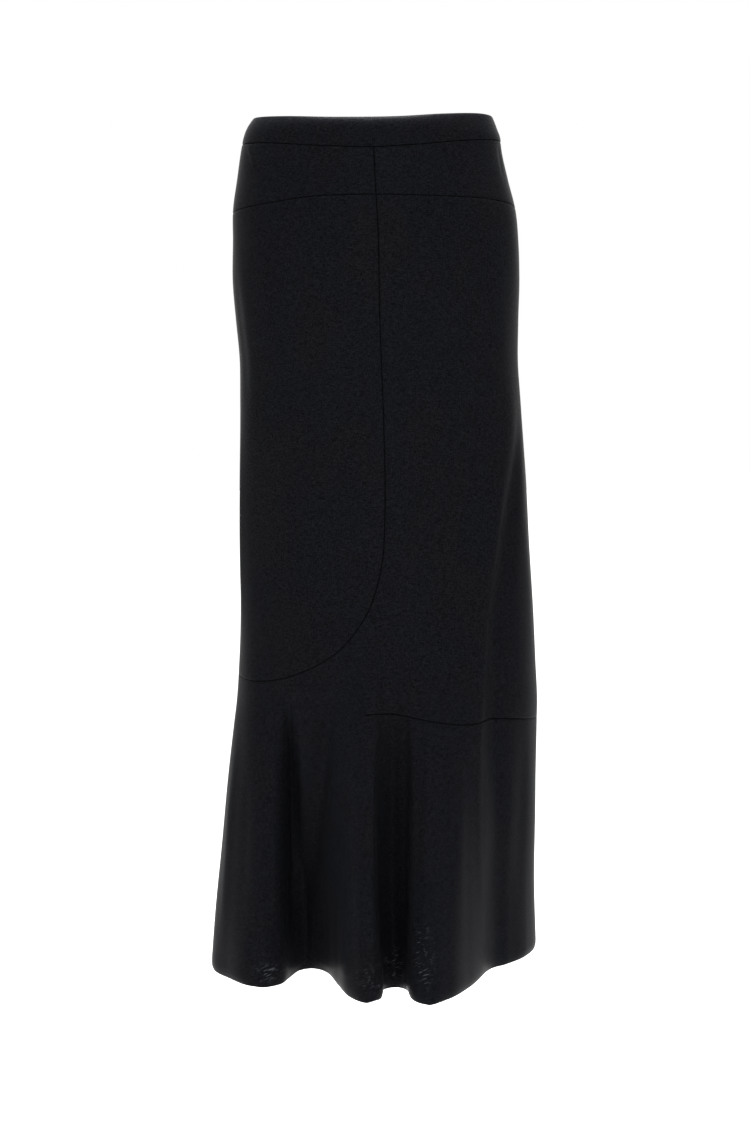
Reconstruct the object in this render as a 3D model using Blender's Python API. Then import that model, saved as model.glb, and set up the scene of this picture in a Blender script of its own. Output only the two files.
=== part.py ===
"""Panelled maxi skirt, filled out as if worn: waistband, hip yoke, two long front panels, plain back.

Every piece is a thin wall cut from one hanging surface. A point of that surface is named by
  turn:   0 at the centre front, +0.5 at the +X side seam, 1 at the centre back, -0.5 at the -X side seam
  height: metres above the waist line; the hem is at HEM_HEIGHT.
The wearer's front faces -Y, the waist line is z = 0, and the origin is the middle of the waist.
"""
import math

import bmesh
import bpy
import numpy as np
from mathutils.geometry import delaunay_2d_cdt

# Driving dimensions, in metres.
HEM_HEIGHT = -0.951
WALL = 0.0018
SEAM_GAP = 0.0003
FLARE_POWER = 1.0
SIDE_TURN = 0.5

# Mesh steps: turns and metres between neighbouring points of a piece.
TURN_STEP_SMOOTH = 0.04
TURN_STEP_FLARED = 0.0125
TURN_STEP_BACK = 0.02
HEIGHT_STEP_SMOOTH = 0.045
HEIGHT_STEP_FLARED = 0.030
FLARE_TOP = -0.57
SWEEP_STEP = 0.022
POINT_CLEARANCE = 0.35
NUDGE = 2e-4
SAME_POINT = 1e-7

# A turn measures about half a metre at the hips; it scales turns when a piece is laid flat.
FLAT_SCALE = np.array((0.5, 1.0))

# The hanging form before any fold: half-widths to -X and +X, depths to the front and the back.
SECTIONS = (
    # height, left,  right,  front, back
    (+0.016, 0.1355, 0.1325, 0.098, 0.094),
    (+0.000, 0.1450, 0.1378, 0.102, 0.098),
    (-0.009, 0.1482, 0.1412, 0.104, 0.100),
    (-0.018, 0.1500, 0.1420, 0.105, 0.102),
    (-0.056, 0.1556, 0.1500, 0.110, 0.111),
    (-0.090, 0.1605, 0.1586, 0.114, 0.119),
    (-0.125, 0.1608, 0.1622, 0.116, 0.124),
    (-0.169, 0.1610, 0.1638, 0.117, 0.126),
    (-0.214, 0.1576, 0.1622, 0.116, 0.124),
    (-0.259, 0.1534, 0.1616, 0.114, 0.120),
    (-0.304, 0.1524, 0.1650, 0.113, 0.118),
    (-0.400, 0.1527, 0.1712, 0.114, 0.119),
    (-0.500, 0.1530, 0.1765, 0.117, 0.123),
    (-0.600, 0.1546, 0.1817, 0.124, 0.130),
    (-0.646, 0.1581, 0.1839, 0.128, 0.135),
    (-0.669, 0.1611, 0.1838, 0.131, 0.137),
    (-0.760, 0.1708, 0.1835, 0.139, 0.146),
    (-0.850, 0.1788, 0.1826, 0.146, 0.155),
    (-0.951, 0.1870, 0.1850, 0.152, 0.163),
)

# The fluted hem line in plan: where each fold's crest, flank and valley hang, how far the hem rises
# above HEM_HEIGHT there, and the height at which that fold begins.
HEM_FOLDS = (
    # name,            turn,   x,       y,       rise,  begins
    ("side_left",       -0.500, -0.1870, -0.0060, 0.000, -0.60),
    ("crest_a_left",    -0.400, -0.1680, -0.0600, 0.000, -0.60),
    ("crest_a",         -0.325, -0.1410, -0.1020, 0.000, -0.61),
    ("crest_a_right",   -0.272, -0.1160, -0.1070, 0.000, -0.62),
    ("crest_a_edge",    -0.246, -0.1000, -0.0920, 0.001, -0.62),
    ("recess_1_left",   -0.226, -0.0930, -0.0680, 0.002, -0.62),
    ("recess_1",        -0.190, -0.0810, -0.0460, 0.006, -0.62),
    ("recess_1_right",  -0.130, -0.0540, -0.0700, 0.006, -0.62),
    ("crest_b_flank",   -0.098, -0.0425, -0.1120, 0.002, -0.61),
    ("crest_b_left",    -0.072, -0.0310, -0.1580, 0.000, -0.60),
    ("crest_b",         -0.046, -0.0120, -0.1890, 0.000, -0.58),
    ("crest_b_right",   -0.024, +0.0045, -0.1840, 0.002, -0.59),
    ("crest_b_edge",    -0.013, +0.0100, -0.1700, 0.001, -0.61),
    ("recess_2_left",   -0.001, +0.0102, -0.1310, 0.000, -0.63),
    ("recess_2",        +0.014, +0.0215, -0.1120, 0.000, -0.63),
    ("recess_2_right",  +0.031, +0.0330, -0.1300, 0.000, -0.63),
    ("crest_c_left",    +0.048, +0.0370, -0.1720, 0.000, -0.62),
    ("crest_c",         +0.075, +0.0540, -0.1985, 0.000, -0.62),
    ("crest_c_right",   +0.125, +0.0835, -0.1780, 0.002, -0.60),
    ("flank_d",         +0.180, +0.1060, -0.1280, 0.004, -0.58),
    ("valley_d",        +0.250, +0.1300, -0.0550, 0.008, -0.58),
    ("side_fold",       +0.330, +0.1520, -0.0280, 0.010, -0.60),
    ("side_fold_right", +0.410, +0.1750, +0.0050, 0.013, -0.60),
    ("side_right",      +0.500, +0.1880, +0.0580, 0.014, -0.60),
    ("back_crest_1",    +0.600, +0.1680, +0.1350, 0.010, -0.60),
    ("back_valley_1",   +0.690, +0.1150, +0.1160, 0.006, -0.60),
    ("back_crest_2",    +0.790, +0.0740, +0.1850, 0.000, -0.60),
    ("back_valley_2",   +0.880, +0.0280, +0.1320, 0.004, -0.60),
    ("back_crest_3",    +1.010, -0.0180, +0.1900, 0.000, -0.60),
    ("back_valley_3",   +1.120, -0.0700, +0.1280, 0.004, -0.60),
    ("back_crest_4",    +1.230, -0.1180, +0.1650, 0.000, -0.60),
    ("back_valley_4",   +1.330, -0.1480, +0.0980, 0.004, -0.60),
    ("back_crest_5",    +1.420, -0.1830, +0.0620, 0.000, -0.60),
)

# Long soft ridges and troughs of the hanging cloth: each runs from its top to its foot, and bows
# aside by so many turns halfway down.
SOFT_FOLDS = (
    # name,               turn,  height, turn,  height, bow,   half_width, depth
    ("ridge_right",       +0.400, -0.26, +0.215, -0.86, -0.09, 0.036, +0.0050),
    ("trough_right",      +0.460, -0.28, +0.290, -0.86, -0.11, 0.032, -0.0060),
    ("trough_left",       -0.330, -0.30, -0.250, -0.60, +0.00, 0.080, -0.0025),
    ("recess_1_start",    -0.230, -0.60, -0.226, -0.90, +0.00, 0.015, -0.0110),
    ("recess_1_branch",   -0.120, -0.58, -0.172, -0.90, +0.00, 0.024, -0.0110),
    ("recess_1_ridge",    -0.175, -0.60, -0.195, -0.86, +0.00, 0.022, +0.0060),
    ("back_trough_left",  +1.350, -0.28, +1.250, -0.66, +0.00, 0.070, -0.0040),
    ("back_ridge",        +1.080, -0.32, +1.020, -0.68, +0.00, 0.080, +0.0040),
    ("back_trough_right", +0.700, -0.28, +0.760, -0.66, +0.00, 0.070, -0.0040),
)

# Seams that go round the body: height at each turn.
RIM = (
    # turn, height
    (-0.50, +0.0120), (-0.25, +0.0088), (-0.10, +0.0048), (+0.06, +0.0047), (+0.20, +0.0102),
    (+0.35, +0.0138), (+0.50, +0.0135), (+0.75, +0.0125), (+1.00, +0.0120), (+1.25, +0.0120),
)
WAISTBAND_SEAM = (
    (-0.50, -0.0170), (-0.30, -0.0198), (-0.12, -0.0258), (+0.00, -0.0279), (+0.10, -0.0250),
    (+0.24, -0.0185), (+0.42, -0.0140), (+0.50, -0.0145), (+0.75, -0.0180), (+1.25, -0.0180),
)
YOKE_SEAM = (
    (-0.50, -0.0945), (-0.38, -0.0910), (-0.26, -0.0868), (-0.12, -0.0808), (-0.03, -0.0799),
    (+0.15, -0.0806), (+0.31, -0.0820), (+0.42, -0.0856), (+0.50, -0.0890), (+1.00, -0.0980),
)
SLASH_SEAM = (
    (-0.052, -0.6480), (-0.010, -0.6475), (+0.042, -0.6507), (+0.100, -0.6565), (+0.165, -0.6615),
    (+0.240, -0.6597), (+0.320, -0.6618), (+0.420, -0.6664), (+0.500, -0.6680),
)

# The centre-front seam below the yoke: straight down, then one sweep to the left side seam.
CENTRE_TURN = 0.0055
CENTRE_SWEEP = (
    # turn, height
    (+0.0060, -0.200), (+0.0045, -0.330), (+0.0040, -0.390), (+0.0010, -0.435), (-0.0045, -0.4745),
    (-0.0175, -0.5057), (-0.0390, -0.536), (-0.0680, -0.559), (-0.1075, -0.581), (-0.1575, -0.5966),
    (-0.2335, -0.6111), (-0.3165, -0.6172), (-0.4000, -0.6175), (-0.5000, -0.6150),
)

CLOTH_COLOUR = (0.0100, 0.0106, 0.0130, 1.0)
CLOTH_ROUGHNESS = 0.86


def smooth_rows(knots, rows, wanted, period=None):
    """Read a table of rows at the wanted places, with a smooth curve through every row."""
    knots = np.asarray(knots, float)
    rows = np.asarray(rows, float).reshape(len(knots), -1)
    if period:
        wanted = (wanted - knots[0]) % period + knots[0]
        knots = np.concatenate((knots[-2:] - period, knots, knots[:2] + period))
        rows = np.concatenate((rows[-2:], rows, rows[:2]))
    gaps = np.diff(knots)[:, None]
    rates = np.diff(rows, axis=0) / gaps
    slopes = np.concatenate((rates[:1], rates))
    slopes[1:-1] = (gaps[1:] * rates[:-1] + gaps[:-1] * rates[1:]) / (gaps[1:] + gaps[:-1])
    span = np.clip(np.searchsorted(knots, wanted) - 1, 0, len(knots) - 2)
    width = gaps[span]
    part = np.clip((wanted - knots[span])[..., None] / width, 0.0, 1.0)
    return (
        (1 + 2 * part) * (1 - part) ** 2 * rows[span]
        + part * (1 - part) ** 2 * width * slopes[span]
        + part ** 2 * (3 - 2 * part) * rows[span + 1]
        + part ** 2 * (part - 1) * width * slopes[span + 1]
    )


def oval(turn, height):
    """The smooth form at a height, without folds."""
    levels = sorted(SECTIONS)
    read = smooth_rows([row[0] for row in levels], [row[1:] for row in levels], height)
    left, right, front, back = np.moveaxis(read, -1, 0)
    across = np.sin(math.pi * turn)
    along = np.cos(math.pi * turn)
    return (right - left) / 2 + (right + left) / 2 * across, -np.where(along > 0, front, back) * along


def soft_fold_push(turn, height):
    """How far the long soft ridges and troughs move the cloth outwards."""
    push = np.zeros_like(turn)
    for _, top_turn, top, foot_turn, foot, bow, half_width, depth in SOFT_FOLDS:
        along = np.clip((top - height) / (top - foot), 0.0, 1.0)
        line = top_turn + (foot_turn - top_turn) * along + bow * np.sin(math.pi * along)
        away = (turn - line + 1.0) % 2.0 - 1.0
        swell = 1.0 - np.cos(math.pi * along) ** 4
        push += depth * swell * np.exp(-(away / half_width) ** 2)
    return push


def surface(turn, height):
    """Outer face of the cloth: the oval form, the soft folds, and the flutes that open to the hem."""
    turn, height = np.broadcast_arrays(np.asarray(turn, float), np.asarray(height, float))
    x, y = oval(turn, height)
    hem_oval_x, hem_oval_y = oval(turn, np.full_like(height, HEM_HEIGHT))
    fold_turns = [row[1] for row in HEM_FOLDS]
    fold_rows = [row[2:] for row in HEM_FOLDS]
    hem_x, hem_y, rise, begins = np.moveaxis(smooth_rows(fold_turns, fold_rows, turn, 2.0), -1, 0)
    opened = np.clip((begins - height) / (begins - HEM_HEIGHT), 0.0, 1.0) ** FLARE_POWER
    push = soft_fold_push(turn, height)
    x = x + opened * (hem_x - hem_oval_x) + push * np.sin(math.pi * turn)
    y = y + opened * (hem_y - hem_oval_y) - push * np.cos(math.pi * turn)
    return np.stack((x, y, height + opened * rise), axis=-1)


def slopes_at(turn, height):
    """How the outer face moves per turn and per metre of height."""
    per_turn = (surface(turn + NUDGE, height) - surface(turn - NUDGE, height)) / (2 * NUDGE)
    above = np.minimum(height + NUDGE, SECTIONS[0][0])
    below = np.maximum(height - NUDGE, HEM_HEIGHT)
    per_height = (surface(turn, above) - surface(turn, below)) / (above - below)[..., None]
    return per_turn, per_height


def outward(turn, height):
    """Unit normal of the outer face, pointing away from the wearer."""
    per_turn, per_height = slopes_at(turn, height)
    normal = np.cross(per_turn, per_height)
    return normal / np.linalg.norm(normal, axis=-1, keepdims=True)


def round_seam(table, start, stop, step):
    """Points of a seam that goes round the body, from one turn to another."""
    count = max(2, round(abs(stop - start) / step) + 1)
    turns = np.linspace(start, stop, count)
    period = None if table is SLASH_SEAM else 2.0
    heights = smooth_rows([row[0] for row in table], [row[1] for row in table], turns, period)[:, 0]
    return np.stack((turns, heights), axis=-1)


def height_on(table, turn):
    """Height of a seam that goes round the body, at one turn."""
    return smooth_rows([row[0] for row in table], [row[1] for row in table], np.array([turn]), 2.0)[0, 0]


def upright_seam(turn, top, bottom):
    """Points of a straight seam between two heights, top first, closer together in the flare."""
    points = []
    for high, low, step in (
        (top, max(bottom, FLARE_TOP), HEIGHT_STEP_SMOOTH),
        (min(top, FLARE_TOP), bottom, HEIGHT_STEP_FLARED),
    ):
        if high > low:
            count = max(1, round((high - low) / step))
            points += [(turn, high + (low - high) * i / count) for i in range(count)]
    return np.array(points + [(turn, bottom)])


def sweep_seam():
    """Points of the centre-front seam from the yoke down and round to the left side seam."""
    top = np.array([[CENTRE_TURN, height_on(YOKE_SEAM, CENTRE_TURN)]])
    route = np.concatenate((top, CENTRE_SWEEP))
    lengths = np.linalg.norm(np.diff(route * FLAT_SCALE, axis=0), axis=1)
    marks = np.concatenate(([0.0], np.cumsum(lengths)))
    count = round(marks[-1] / SWEEP_STEP)
    return smooth_rows(marks, route, np.linspace(0.0, marks[-1], count + 1))


def hem(start, stop, step):
    """Points of the hem from one turn to another."""
    count = round(abs(stop - start) / step) + 1
    turns = np.linspace(start, stop, count)
    return np.stack((turns, np.full(count, HEM_HEIGHT)), axis=-1)


def joined(*stretches):
    """One closed outline from stretches that run on from each other."""
    points = []
    for stretch in stretches:
        points += [tuple(point) for point in stretch]
    outline = [points[0]]
    for point in points[1:]:
        if math.dist(point, outline[-1]) > SAME_POINT:
            outline.append(point)
    if math.dist(outline[0], outline[-1]) < SAME_POINT:
        outline.pop()
    return np.array(outline)


def drawn_in(outline):
    """The outline moved inwards by half a seam gap, measured along the cloth."""
    per_turn, per_height = slopes_at(outline[:, 0], outline[:, 1])
    scale = np.stack((np.linalg.norm(per_turn, axis=1), np.linalg.norm(per_height, axis=1)), axis=-1)
    before = (outline - np.roll(outline, 1, axis=0)) * scale
    after = (np.roll(outline, -1, axis=0) - outline) * scale
    sides = []
    for edge in (before, after):
        edge = edge / np.linalg.norm(edge, axis=1, keepdims=True)
        sides.append(np.stack((-edge[:, 1], edge[:, 0]), axis=-1))
    total = sides[0] + sides[1]
    size = np.linalg.norm(total, axis=1, keepdims=True)
    slash_end = size < 0.05
    mitre = np.where(slash_end, 0.0, 2.0 / np.maximum(size, 0.5) ** 2)
    return outline + total * mitre * SEAM_GAP / 2 / scale


def inside_points(outline, flared_step):
    """A grid of points in an outline, closer together where the skirt flares."""
    turns = outline[:, 0]
    heights = outline[:, 1]
    points = []
    for high, low, height_step, turn_step in (
        (heights.max(), FLARE_TOP, HEIGHT_STEP_SMOOTH, TURN_STEP_SMOOTH),
        (FLARE_TOP, HEM_HEIGHT, HEIGHT_STEP_FLARED, flared_step),
    ):
        rows = max(1, round((high - low) / height_step))
        for row in range(rows + 1):
            height = high + (low - high) * row / rows
            if row == rows and low == FLARE_TOP:
                continue
            first = math.ceil(turns.min() / turn_step)
            last = math.floor(turns.max() / turn_step)
            for column in range(first, last + 1):
                points.append((column * turn_step, height, turn_step, height_step))
    return [point[:2] for point in points if clear_of(outline, point)]


def clear_of(outline, point):
    """Whether a point lies inside an outline and not too near its edge."""
    turn, height, turn_step, height_step = point
    reach = np.array((turn_step, height_step)) * POINT_CLEARANCE
    start = (outline - (turn, height)) / reach
    stop = np.roll(start, -1, axis=0)
    run = stop - start
    nearest = np.clip(-(start * run).sum(axis=1) / (run ** 2).sum(axis=1), 0.0, 1.0)
    distance = np.linalg.norm(start + run * nearest[:, None], axis=1).min()
    crosses = (start[:, 1] > 0) != (stop[:, 1] > 0)
    with np.errstate(divide="ignore", invalid="ignore"):
        where = start[:, 0] - start[:, 1] * run[:, 0] / run[:, 1]
    return distance > 1.0 and np.count_nonzero(crosses & (where > 0)) % 2 == 1


def cloth_material(name):
    """Plain near-black crepe."""
    material = bpy.data.materials.new(name)
    material.use_nodes = True
    shader = material.node_tree.nodes["Principled BSDF"]
    shader.inputs["Base Color"].default_value = CLOTH_COLOUR
    shader.inputs["Roughness"].default_value = CLOTH_ROUGHNESS
    shader.inputs["Metallic"].default_value = 0.0
    return material


def cloth_piece(name, outline, flared_step=TURN_STEP_FLARED):
    """One cut piece: a closed wall over its outline on the hanging surface."""
    edge = drawn_in(outline)
    flat = np.concatenate((edge, np.array(inside_points(outline, flared_step)).reshape(-1, 2)))
    ring = list(range(len(edge)))
    ring_edges = [(i, (i + 1) % len(ring)) for i in ring]
    laid = [tuple(point) for point in flat * FLAT_SCALE]
    cut = delaunay_2d_cdt(laid, ring_edges, [ring], 1, SAME_POINT, True)
    corners = np.array([tuple(point) for point in cut[0]]) / FLAT_SCALE
    triangles = [face for face, within in zip(cut[2], cut[5]) if within]
    outer = surface(corners[:, 0], corners[:, 1])
    inner = outer - outward(corners[:, 0], corners[:, 1]) * WALL

    mesh = bpy.data.meshes.new(name)
    form = bmesh.new()
    outer_points = [form.verts.new(point) for point in outer]
    inner_points = [form.verts.new(point) for point in inner]
    for a, b, c in triangles:
        form.faces.new((outer_points[a], outer_points[b], outer_points[c]))
        form.faces.new((inner_points[c], inner_points[b], inner_points[a]))
    form.verts.index_update()
    open_edges = [sorted(point.index for point in line.verts) for line in form.edges if line.is_boundary]
    for a, b in open_edges:
        if b < len(outer_points):
            form.faces.new((outer_points[a], outer_points[b], inner_points[b], inner_points[a]))
    bmesh.ops.recalc_face_normals(form, faces=form.faces)
    form.to_mesh(mesh)
    form.free()
    mesh.materials.append(cloth_material(name + "_cloth"))
    mesh.shade_smooth()
    mesh.set_sharp_from_angle(angle=math.radians(40))
    piece = bpy.data.objects.new(name, mesh)
    bpy.context.scene.collection.objects.link(piece)
    return piece


def build_skirt():
    """All cut pieces, from the waistband to the hem."""
    left, right = -SIDE_TURN, SIDE_TURN
    back_right, back_left = SIDE_TURN, 2.0 - SIDE_TURN
    smooth = TURN_STEP_SMOOTH
    for name, start, stop in (("waistband_front", left, right), ("waistband_back", back_right, back_left)):
        cloth_piece(name, joined(
            round_seam(WAISTBAND_SEAM, start, stop, smooth),
            round_seam(RIM, stop, start, smooth),
        ))
    for name, start, stop in (
        ("yoke_front_left", left, CENTRE_TURN),
        ("yoke_front_right", CENTRE_TURN, right),
        ("yoke_back", back_right, back_left),
    ):
        cloth_piece(name, joined(
            round_seam(YOKE_SEAM, start, stop, smooth),
            upright_seam(stop, height_on(WAISTBAND_SEAM, stop), height_on(YOKE_SEAM, stop))[::-1],
            round_seam(WAISTBAND_SEAM, stop, start, smooth),
            upright_seam(start, height_on(WAISTBAND_SEAM, start), height_on(YOKE_SEAM, start)),
        ))
    sweep = sweep_seam()
    sweep_foot = sweep[-1][1]
    slash_right = SLASH_SEAM[-1][1]
    slash = round_seam(SLASH_SEAM, SLASH_SEAM[0][0], right, TURN_STEP_FLARED)
    left_upper = upright_seam(left, height_on(YOKE_SEAM, left), sweep_foot)
    left_lower = upright_seam(left, sweep_foot, HEM_HEIGHT)
    right_upper = upright_seam(right, height_on(YOKE_SEAM, right), slash_right)
    right_lower = upright_seam(right, slash_right, HEM_HEIGHT)
    cloth_piece("front_left_panel", joined(
        sweep[::-1],
        round_seam(YOKE_SEAM, CENTRE_TURN, left, smooth),
        left_upper,
    ))
    cloth_piece("front_right_panel", joined(
        hem(left, right, TURN_STEP_FLARED),
        right_lower[::-1],
        slash[::-1],
        slash,
        right_upper[::-1],
        round_seam(YOKE_SEAM, right, CENTRE_TURN, smooth),
        sweep,
        left_lower,
    ))
    once_round = (back_left - left, 0.0)
    cloth_piece("back_panel", joined(
        hem(back_right, back_left, TURN_STEP_BACK),
        (left_lower + once_round)[::-1],
        (left_upper + once_round)[::-1],
        round_seam(YOKE_SEAM, back_left, back_right, smooth),
        right_upper,
        right_lower,
    ), TURN_STEP_BACK)


for leftover in list(bpy.data.objects):
    bpy.data.objects.remove(leftover, do_unlink=True)
build_skirt()
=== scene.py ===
"""Looks of the panelled maxi skirt: fine cloth shells on the cut pieces, near-black crepe, pale studio.

A point of the hanging cloth is named by its turn (0 centre front, +0.5 the +X side seam, 1 centre back)
and its height above the waist line, as in the skirt's construction. All lengths are in metres.
"""
import math

import bpy
import numpy as np
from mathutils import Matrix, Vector, kdtree
from mathutils.geometry import delaunay_2d_cdt


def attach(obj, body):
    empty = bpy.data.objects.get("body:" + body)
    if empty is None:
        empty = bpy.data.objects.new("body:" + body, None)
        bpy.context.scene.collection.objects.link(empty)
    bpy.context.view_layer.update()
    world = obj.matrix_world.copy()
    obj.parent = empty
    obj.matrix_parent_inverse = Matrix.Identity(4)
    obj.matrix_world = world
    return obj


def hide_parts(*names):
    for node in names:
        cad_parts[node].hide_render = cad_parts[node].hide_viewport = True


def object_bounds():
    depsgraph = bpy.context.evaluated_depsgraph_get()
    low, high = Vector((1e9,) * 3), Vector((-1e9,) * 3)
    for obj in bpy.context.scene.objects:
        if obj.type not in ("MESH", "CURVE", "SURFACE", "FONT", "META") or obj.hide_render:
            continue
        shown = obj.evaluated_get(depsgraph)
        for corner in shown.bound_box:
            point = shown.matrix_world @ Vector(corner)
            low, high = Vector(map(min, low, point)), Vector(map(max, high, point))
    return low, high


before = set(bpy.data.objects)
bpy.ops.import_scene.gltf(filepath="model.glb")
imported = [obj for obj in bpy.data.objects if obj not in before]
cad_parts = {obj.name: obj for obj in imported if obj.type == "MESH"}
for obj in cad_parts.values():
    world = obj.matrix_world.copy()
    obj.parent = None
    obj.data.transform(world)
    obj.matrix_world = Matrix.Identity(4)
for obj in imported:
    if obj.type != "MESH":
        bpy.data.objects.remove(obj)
cad_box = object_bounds()

# ---------------------------------------------------------------- camera, from the photograph's frame
PHOTO_HEIGHT_PX = 1125.0
SENSOR_MM = 36.0
LENS_MM = 90.0
CAMERA_DISTANCE = 3.2
HORIZON_PX = 400.0
WAIST_LINE_PX = 130.0

# ---------------------------------------------------------------- construction, repeated
# Against the photograph, the hem hangs a few millimetres lower than the solids' hem, and the folds at
# its right rise a millimetre or so less.
ROUND = 2.0
HEM_HEIGHT = -0.9548
SIDE_TURN = 0.5
CENTRE_TURN = 0.0055

SECTIONS = (
    # height, left,  right,  front, back
    (+0.016, 0.1355, 0.1325, 0.098, 0.094),
    (+0.000, 0.1450, 0.1378, 0.102, 0.098),
    (-0.009, 0.1482, 0.1412, 0.104, 0.100),
    (-0.018, 0.1500, 0.1420, 0.105, 0.102),
    (-0.056, 0.1556, 0.1500, 0.110, 0.111),
    (-0.090, 0.1605, 0.1586, 0.114, 0.119),
    (-0.125, 0.1608, 0.1622, 0.116, 0.124),
    (-0.169, 0.1610, 0.1638, 0.117, 0.126),
    (-0.214, 0.1576, 0.1622, 0.116, 0.124),
    (-0.259, 0.1534, 0.1616, 0.114, 0.120),
    (-0.304, 0.1524, 0.1650, 0.113, 0.118),
    (-0.400, 0.1527, 0.1712, 0.114, 0.119),
    (-0.500, 0.1530, 0.1765, 0.117, 0.123),
    (-0.600, 0.1546, 0.1817, 0.124, 0.130),
    (-0.646, 0.1581, 0.1839, 0.128, 0.135),
    (-0.669, 0.1611, 0.1838, 0.131, 0.137),
    (-0.760, 0.1708, 0.1835, 0.139, 0.146),
    (-0.850, 0.1788, 0.1826, 0.146, 0.155),
    (-0.951, 0.1870, 0.1850, 0.152, 0.163),
)
HEM_FOLDS = (
    # name,            turn,   x,       y,       rise,  begins
    ("side_left",       -0.500, -0.1870, -0.0060, 0.000, -0.60),
    ("crest_a_left",    -0.400, -0.1680, -0.0600, 0.000, -0.60),
    ("crest_a",         -0.325, -0.1410, -0.1020, 0.000, -0.61),
    ("crest_a_right",   -0.272, -0.1160, -0.1070, 0.000, -0.62),
    ("crest_a_edge",    -0.246, -0.1000, -0.0920, 0.001, -0.62),
    ("recess_1_left",   -0.226, -0.0930, -0.0680, 0.002, -0.62),
    ("recess_1",        -0.190, -0.0810, -0.0460, 0.006, -0.62),
    ("recess_1_right",  -0.130, -0.0540, -0.0700, 0.006, -0.62),
    ("crest_b_flank",   -0.098, -0.0425, -0.1120, 0.002, -0.61),
    ("crest_b_left",    -0.072, -0.0310, -0.1580, 0.000, -0.60),
    ("crest_b",         -0.046, -0.0120, -0.1890, 0.000, -0.58),
    ("crest_b_right",   -0.024, +0.0045, -0.1840, 0.002, -0.59),
    ("crest_b_edge",    -0.013, +0.0100, -0.1700, 0.001, -0.61),
    ("recess_2_left",   -0.001, +0.0102, -0.1310, 0.000, -0.63),
    ("recess_2",        +0.014, +0.0215, -0.1120, 0.000, -0.63),
    ("recess_2_right",  +0.031, +0.0330, -0.1300, 0.000, -0.63),
    ("crest_c_left",    +0.048, +0.0370, -0.1720, 0.000, -0.62),
    ("crest_c",         +0.075, +0.0540, -0.1985, 0.000, -0.62),
    ("crest_c_right",   +0.125, +0.0835, -0.1780, 0.002, -0.60),
    ("flank_d",         +0.180, +0.1060, -0.1280, 0.003, -0.58),
    ("valley_d",        +0.250, +0.1300, -0.0550, 0.007, -0.58),
    ("side_fold",       +0.330, +0.1520, -0.0280, 0.009, -0.60),
    ("side_fold_right", +0.410, +0.1750, +0.0050, 0.0115, -0.60),
    ("side_right",      +0.500, +0.1880, +0.0580, 0.0125, -0.60),
    ("back_crest_1",    +0.600, +0.1680, +0.1350, 0.010, -0.60),
    ("back_valley_1",   +0.690, +0.1150, +0.1160, 0.006, -0.60),
    ("back_crest_2",    +0.790, +0.0740, +0.1850, 0.000, -0.60),
    ("back_valley_2",   +0.880, +0.0280, +0.1320, 0.004, -0.60),
    ("back_crest_3",    +1.010, -0.0180, +0.1900, 0.000, -0.60),
    ("back_valley_3",   +1.120, -0.0700, +0.1280, 0.004, -0.60),
    ("back_crest_4",    +1.230, -0.1180, +0.1650, 0.000, -0.60),
    ("back_valley_4",   +1.330, -0.1480, +0.0980, 0.004, -0.60),
    ("back_crest_5",    +1.420, -0.1830, +0.0620, 0.000, -0.60),
)
SOFT_FOLDS = (
    # name,               turn,  height, turn,  height, bow,   half_width, depth
    ("ridge_right",       +0.400, -0.26, +0.215, -0.86, -0.09, 0.036, +0.0050),
    ("trough_right",      +0.460, -0.28, +0.290, -0.86, -0.11, 0.032, -0.0060),
    ("trough_left",       -0.330, -0.30, -0.250, -0.60, +0.00, 0.080, -0.0025),
    ("recess_1_start",    -0.230, -0.60, -0.226, -0.90, +0.00, 0.015, -0.0110),
    ("recess_1_branch",   -0.120, -0.58, -0.172, -0.90, +0.00, 0.024, -0.0110),
    ("recess_1_ridge",    -0.175, -0.60, -0.195, -0.86, +0.00, 0.022, +0.0060),
    ("back_trough_left",  +1.350, -0.28, +1.250, -0.66, +0.00, 0.070, -0.0040),
    ("back_ridge",        +1.080, -0.32, +1.020, -0.68, +0.00, 0.080, +0.0040),
    ("back_trough_right", +0.700, -0.28, +0.760, -0.66, +0.00, 0.070, -0.0040),
)
RIM = (
    # turn, height
    (-0.50, +0.0120), (-0.25, +0.0094), (-0.10, +0.0066), (+0.06, +0.0067), (+0.20, +0.0108),
    (+0.35, +0.0138), (+0.50, +0.0135), (+0.75, +0.0125), (+1.00, +0.0120), (+1.25, +0.0120),
)
WAISTBAND_SEAM = (
    (-0.50, -0.0170), (-0.30, -0.0198), (-0.12, -0.0258), (+0.00, -0.0279), (+0.10, -0.0250),
    (+0.24, -0.0185), (+0.42, -0.0140), (+0.50, -0.0145), (+0.75, -0.0180), (+1.25, -0.0180),
)
YOKE_SEAM = (
    (-0.50, -0.0945), (-0.38, -0.0910), (-0.26, -0.0868), (-0.12, -0.0808), (-0.03, -0.0799),
    (+0.15, -0.0806), (+0.31, -0.0820), (+0.42, -0.0856), (+0.50, -0.0890), (+1.00, -0.0980),
)
SLASH_SEAM = (
    (-0.052, -0.6480), (-0.010, -0.6475), (+0.042, -0.6507), (+0.100, -0.6565), (+0.165, -0.6615),
    (+0.240, -0.6597), (+0.320, -0.6618), (+0.420, -0.6664), (+0.500, -0.6680),
)
CENTRE_SWEEP = (
    (+0.0060, -0.200), (+0.0045, -0.330), (+0.0040, -0.390), (+0.0010, -0.435), (-0.0045, -0.4745),
    (-0.0175, -0.5057), (-0.0390, -0.536), (-0.0680, -0.559), (-0.1075, -0.581), (-0.1575, -0.5966),
    (-0.2335, -0.6111), (-0.3165, -0.6172), (-0.4000, -0.6175), (-0.5000, -0.6150),
)

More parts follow.
